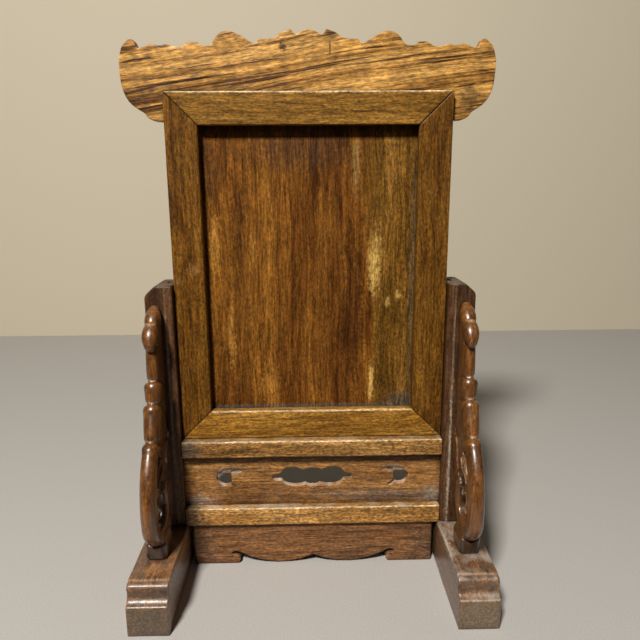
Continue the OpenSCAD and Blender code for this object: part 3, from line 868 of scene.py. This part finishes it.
class SCREEN_OT_frame(bpy.types.Operator):
    """The mitred frame"""
    bl_idname = "table_screen.frame"
    bl_label = "Frame"

    def execute(self, context):
        s = context.scene.table_screen.frame
        stile = (s.wood, s.dark, s.pale)
        rail = (s.rail_wood, s.rail_dark, s.rail_pale)
        bare = (0.30, 0.15, 0.05)
        for seed, node, colours, level in ((1.1, "frame_left_stile", stile, 1.0),
                                           (2.3, "frame_right_stile", stile, 0.92),
                                           (3.6, "frame_bottom_rail", rail, 1.28),
                                           (5.2, "frame_top_rail", rail, 0.92)):
            low, high = reach_of(node)
            marks = []
            if colours is rail:
                # Painted highlight with rubbed wear along the front top arris of the rail
                marks = [Spot((0.78, 0.60, 0.36), (0, low.y, high.z), (0.3, 0.0020, 0.0016), 0.45, 0.85)]
            elif node == "frame_left_stile":
                marks = [Spot(bare, (-0.1159, low.y, 0.2770), (0.006, 0.01, 0.004), 0.8, 0.5),
                         Spot(bare, (-0.1022, low.y, 0.2874), (0.007, 0.01, 0.005), 0.8, 0.5)]
            along = ALONG_X if colours is rail else ALONG_Z
            material = wood(node + "_wood", levelled(colours, level), along, seed, bands=0.5, streaks=0.6,
                            pores=0.72, rough=0.4, rub=0.6, dust=0.1, everywhere=0.05, spots=marks)
            softened(node, material, s.voxel, rounds=2)
        return {"FINISHED"}


class SCREEN_OT_boards(bpy.types.Operator):
    """The two boards of the panel, and the hidden dowels of the crest"""
    bl_idname = "table_screen.boards"
    bl_label = "Panel boards"

    golden = (0.38, 0.175, 0.030)
    flame = (0.62, 0.39, 0.105)
    full_width, through = 0.4, 0.02

    def streak(self, colour, x, z, wide, tall, ragged, strength):
        """A mark that goes through a board, with its half width and half height."""
        return Spot(colour, (x, 0, z), (wide, self.through, tall), ragged, strength)

    def seam(self):
        """Pale streaks along the seam, which both boards share."""
        return [self.streak(self.flame, 0.0568, 0.2914, 0.0065, 0.034, 0.6, 0.8),
                self.streak(self.flame, 0.0550, 0.1788, 0.0030, 0.023, 0.6, 0.75)]

    def rims(self, base, top):
        """Haze along the bottom rail, and painted shade below the top rail."""
        return [self.streak((0.125, 0.120, 0.105), 0, base, self.full_width, 0.0034, 0.4, 0.6),
                # Painted shade below the top rail
                self.streak((0.030, 0.014, 0.005), 0, top, self.full_width, 0.0070, 0.3, 0.6)]

    def wide_marks(self, base, top, side_wood):
        broad = [self.streak((0.285, 0.125, 0.020), -0.060, 0.265, 0.050, 0.12, 0.6, 0.25),
                 self.streak((0.060, 0.021, 0.005), 0.018, 0.245, 0.040, 0.15, 0.7, 0.3),
                 self.streak((0.055, 0.022, 0.006), -0.088, 0.372, 0.016, 0.036, 0.7, 0.55),
                 self.streak(self.golden, -0.0384, 0.176, 0.010, 0.022, 1.0, 0.5),
                 self.streak((0.045, 0.018, 0.005), -0.0620, 0.3120, 0.003, 0.050, 0.7, 0.6)]
        streaks = [self.streak((0.045, 0.014, 0.003), 0.0374, 0.2432, 0.012, 0.085, 0.7, 0.55),
                   self.streak((0.045, 0.024, 0.014), -0.0080, 0.3881, 0.060, 0.022, 0.8, 0.55),
                   self.streak(side_wood, 0.0530, 0.36, 0.009, 0.075, 0.5, 0.8),
                   self.streak((0.30, 0.18, 0.055), 0.0401, 0.3754, 0.0045, 0.033, 0.6, 0.6),
                   self.streak(self.golden, -0.0840, 0.3077, 0.0055, 0.034, 0.7, 0.75),
                   self.streak(self.golden, -0.0723, 0.2257, 0.0045, 0.036, 0.7, 0.7),
                   self.streak(self.golden, -0.0507, 0.3030, 0.0035, 0.016, 0.7, 0.5)]
        return broad + self.seam() + streaks + self.rims(base, top)

    def narrow_marks(self, base, top):
        streaks = [self.streak(self.flame, 0.0700, 0.2549, 0.003, 0.006, 0.7, 0.6),
                   self.streak(self.flame, 0.0789, 0.2612, 0.003, 0.005, 0.7, 0.6),
                   self.streak((0.075, 0.065, 0.045), 0.0925, 0.27, 0.006, 0.14, 0.6, 0.5),
                   self.streak((0.070, 0.074, 0.066), 0.0860, base + 0.005, 0.020, 0.010, 0.7, 0.6)]
        return self.seam() + streaks + self.rims(base, top)

    def execute(self, context):
        s = context.scene.table_screen.boards
        wide = (s.wood, s.dark, s.pale)
        narrow = (s.side_wood, s.side_dark, s.side_pale)
        base = reach_of("frame_bottom_rail")[1].z
        top = reach_of("frame_top_rail")[0].z
        finish_node("main_board", wood("main_board_wood", wide, ALONG_Z, 4.9, bands=1.0, streaks=0.85, pores=0.6,
                                       width=0.95, rough=0.4, rub=0.0,
                                       spots=self.wide_marks(base, top, s.side_wood)))
        finish_node("side_board", wood("side_board_wood", narrow, ALONG_Z, 6.1, bands=0.8, streaks=0.6, pores=0.8,
                                       rough=0.4, rub=0.0, spots=self.narrow_marks(base, top)))
        finish_node("crest_dowels", wood("dowel_wood", narrow, ALONG_Z, 1.9))
        return {"FINISHED"}


class SCREEN_OT_crest(bpy.types.Operator):
    """The lobed crest board"""
    bl_idname = "table_screen.crest"
    bl_label = "Crest"

    def execute(self, context):
        s = context.scene.table_screen.crest
        knot = Spot((0.030, 0.014, 0.006), (-0.0210, -0.005, 0.4699), (0.0042, 0.02, 0.0036), 0.7, 0.9)
        crack = Spot((0.035, 0.014, 0.004), (0.0177, -0.005, 0.4690), (0.0008, 0.02, 0.0085), 0.5, 0.8)
        stain = Spot((0.070, 0.040, 0.022), (0.1350, -0.005, 0.4291), (0.010, 0.02, 0.012), 0.8, 0.6)
        slanted = (0.0, ALONG_X[1] + CREST_SLANT, 0.0)
        material = wood("crest_board_wood", (s.wood, s.dark, s.pale), slanted, 2.7, bands=1.15, streaks=1.5,
                        pores=0.7, width=1.05, squeeze=(0.55, 1.0, 1.0), ripple=0.35, rough=0.36, shine=0.25,
                        rub=1.0, worn=(0.90, 0.66, 0.36), spots=(knot, crack, stain))
        softened("crest_board", material, s.voxel, rounds=2)
        return {"FINISHED"}


OPERATORS = (SCREEN_OT_stage, SCREEN_OT_feet, SCREEN_OT_posts, SCREEN_OT_spandrels, SCREEN_OT_stretchers,
             SCREEN_OT_waist_panel, SCREEN_OT_aprons, SCREEN_OT_frame, SCREEN_OT_boards, SCREEN_OT_crest)


class SCREEN_PT_panel(bpy.types.Panel):
    """Lists the operators of the table screen"""
    bl_idname = "SCREEN_PT_panel"
    bl_label = "Table screen"
    bl_space_type = "VIEW_3D"
    bl_region_type = "UI"
    bl_category = "Table screen"

    def draw(self, context):
        for kind in OPERATORS:
            self.layout.operator(kind.bl_idname)


CLASSES = (SCREEN_PG_feet, SCREEN_PG_posts, SCREEN_PG_spandrels, SCREEN_PG_stretchers, SCREEN_PG_waist,
           SCREEN_PG_aprons, SCREEN_PG_frame, SCREEN_PG_boards, SCREEN_PG_crest, SCREEN_PG_stage,
           SCREEN_PG_settings, *OPERATORS, SCREEN_PT_panel)


def register():
    for kind in CLASSES:
        bpy.utils.register_class(kind)
    bpy.types.Scene.table_screen = PointerProperty(type=SCREEN_PG_settings)


def unregister():
    del bpy.types.Scene.table_screen
    for kind in reversed(CLASSES):
        bpy.utils.unregister_class(kind)


def main():
    register()
    for kind in OPERATORS:
        area, name = kind.bl_idname.split(".")
        getattr(getattr(bpy.ops, area), name)()
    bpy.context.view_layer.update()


if __name__ == "__main__":
    main()
